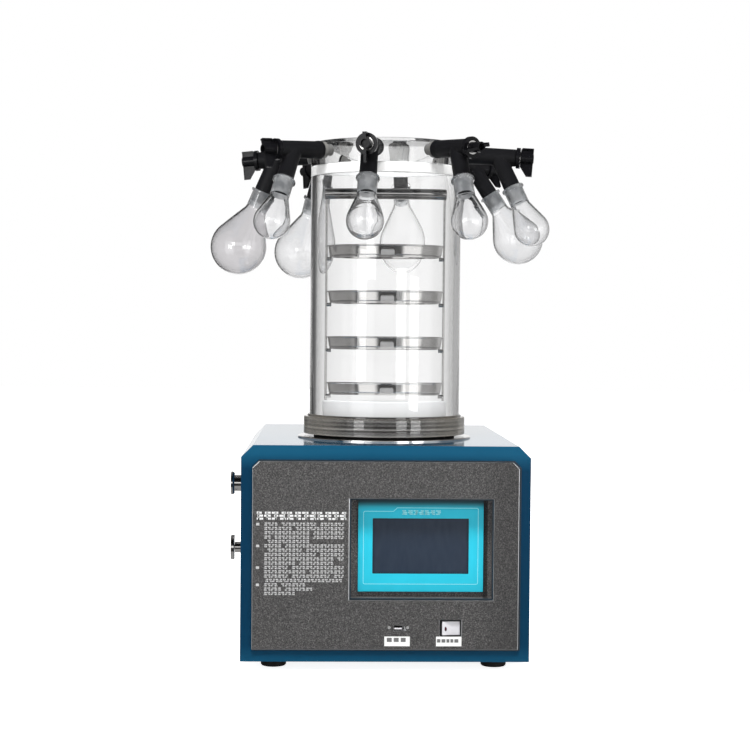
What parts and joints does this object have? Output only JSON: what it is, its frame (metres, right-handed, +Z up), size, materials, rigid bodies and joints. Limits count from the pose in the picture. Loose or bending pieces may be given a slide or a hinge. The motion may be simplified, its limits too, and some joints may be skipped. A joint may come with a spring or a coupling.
{
  "type": "freeze dryer",
  "caption": "Bench-top laboratory freeze dryer: refrigerated cabinet with a screen, clear drying chamber with trays, and a lid manifold of plug valves carrying glass flasks.",
  "frame": {"origin": "on the bench, under the middle of the machine's overall width and depth", "axes": "+Z up, the screen faces -Y, +X to the right seen from the front"},
  "size_m": [0.5847, 0.6451, 0.8575],
  "materials": {
    "blue_paint": "glossy deep teal-blue stove enamel on folded sheet steel",
    "inner_paint": "the same blue enamel, satin",
    "panel_paint": "dark grey hammertone paint",
    "screen_frame": "satin cyan moulded frame",
    "display": "dark slate display under satin film",
    "black_plastic": "black moulded plastic",
    "rocker": "off-white rocker",
    "label": "white label plates",
    "screws": "plated steel screws",
    "rubber": "black rubber",
    "polished_fittings": "polished stainless fittings",
    "stainless": "polished stainless steel",
    "tray_steel": "spun stainless steel",
    "foam": "rigid insulation foam",
    "compressor_paint": "black enamel",
    "fins": "aluminium fins",
    "copper": "bare copper tube",
    "circuit_board": "green circuit board",
    "clear_acrylic": "clear cast acrylic",
    "smoky_acrylic": "smoky clear acrylic",
    "silicone": "translucent white silicone",
    "valve_rubber": "matt black rubber",
    "knob_plastic": "black moulded nylon",
    "flask_glass": "clear glass with ground joints"
  },
  "bodies": {
    "root": {"cabinet_shell": "blue_paint", "base_pan": "inner_paint", "rear_panel": "inner_paint", "front_panel": "panel_paint", "screen_recess": "panel_paint", "screen_bezel": "screen_frame", "screen_display": "display", "screen_housing": "black_plastic", "usb_socket": "black_plastic", "usb_screws": "screws", "switch_housing": "black_plastic", "label_plates": "label", "feet": "rubber", "foot_screws": "screws", "vacuum_port": "polished_fittings", "drain_valve": "polished_fittings", "deck_ring": "stainless", "cold_trap": "stainless", "trap_coil": "stainless", "trap_foam": "foam", "compressor": "compressor_paint", "condenser": "fins", "fan_frame": "black_plastic", "cooling_pipes": "copper", "controller_board": "circuit_board", "power_inlet": "black_plastic", "chamber_gasket": "rubber", "chamber_flange": "smoky_acrylic", "chamber_tube": "clear_acrylic", "rack_base": "stainless", "rack_frame": "stainless", "tray_1": "tray_steel", "tray_2": "tray_steel", "tray_3": "tray_steel", "tray_4": "tray_steel", "lid_seal": "silicone", "lid_drum": "clear_acrylic", "lid_plate": "clear_acrylic", "port_stubs": "silicone", "valve_bodies": "valve_rubber", "flask_1": "flask_glass", "flask_2": "flask_glass", "flask_3": "flask_glass", "flask_4": "flask_glass", "flask_5": "flask_glass", "flask_6": "flask_glass", "flask_7": "flask_glass", "flask_8": "flask_glass"},
    "rocker": {"rocker": "rocker"},
    "drain_knob": {"drain_knob": "polished_fittings"},
    "fan_rotor": {"fan_rotor": "black_plastic"},
    "valve_knob_1": {"valve_knob_1": "knob_plastic"},
    "valve_knob_2": {"valve_knob_2": "knob_plastic"},
    "valve_knob_3": {"valve_knob_3": "knob_plastic"},
    "valve_knob_4": {"valve_knob_4": "knob_plastic"},
    "valve_knob_5": {"valve_knob_5": "knob_plastic"},
    "valve_knob_6": {"valve_knob_6": "knob_plastic"},
    "valve_knob_7": {"valve_knob_7": "knob_plastic"},
    "valve_knob_8": {"valve_knob_8": "knob_plastic"}
  },
  "joints": [
    {"name": "valve_1_turn", "type": "hinge", "parent": "root", "child": "valve_knob_1", "pos_m": [-0.03185, -0.27973, 0.83522], "axis": [-0.1735, -0.9837, -0.0471], "range_deg": [-180, 0]},
    {"name": "valve_2_turn", "type": "hinge", "parent": "root", "child": "valve_knob_2", "pos_m": [0.14739, -0.24, 0.83522], "axis": [0.5729, -0.8182, -0.0471], "range_deg": [-120, 60]},
    {"name": "valve_3_turn", "type": "hinge", "parent": "root", "child": "valve_knob_3", "pos_m": [0.24591, -0.08513, 0.83308], "axis": [0.9826, -0.1733, -0.0663], "range_deg": [-180, 0]},
    {"name": "valve_4_turn", "type": "hinge", "parent": "root", "child": "valve_knob_4", "pos_m": [0.20583, 0.09376, 0.82801], "axis": [0.814, 0.57, -0.1115], "range_deg": [-180, 0]},
    {"name": "valve_5_turn", "type": "hinge", "parent": "root", "child": "valve_knob_5", "pos_m": [0.05145, 0.1927, 0.83464], "axis": [0.1734, 0.9835, -0.0523], "range_deg": [-180, 0]},
    {"name": "valve_6_turn", "type": "hinge", "parent": "root", "child": "valve_knob_6", "pos_m": [-0.12758, 0.1527, 0.83015], "axis": [-0.5711, 0.8156, -0.0924], "range_deg": [-180, 0]},
    {"name": "valve_7_turn", "type": "hinge", "parent": "root", "child": "valve_knob_7", "pos_m": [-0.22617, -0.00189, 0.83113], "axis": [-0.9814, 0.173, -0.0837], "range_deg": [-180, 0]},
    {"name": "valve_8_turn", "type": "hinge", "parent": "root", "child": "valve_knob_8", "pos_m": [-0.18667, -0.18107, 0.83464], "axis": [-0.818, -0.5728, -0.0523], "range_deg": [-180, 0]},
    {"name": "drain_turn", "type": "hinge", "parent": "root", "child": "drain_knob", "pos_m": [-0.2442, -0.0435, 0.168], "axis": [-1, 0, 0], "range_deg": [0, 360]},
    {"name": "rocker_tilt", "type": "hinge", "parent": "root", "child": "rocker", "pos_m": [0.1095, -0.2655, 0.0696], "axis": [0, 0, 1], "range_deg": [-16, 0]},
    {"name": "fan_spin", "type": "hinge", "parent": "root", "child": "fan_rotor", "pos_m": [0.1138, 0.2365, 0.143], "axis": [0, 1, 0], "continuous": true}
  ]
}
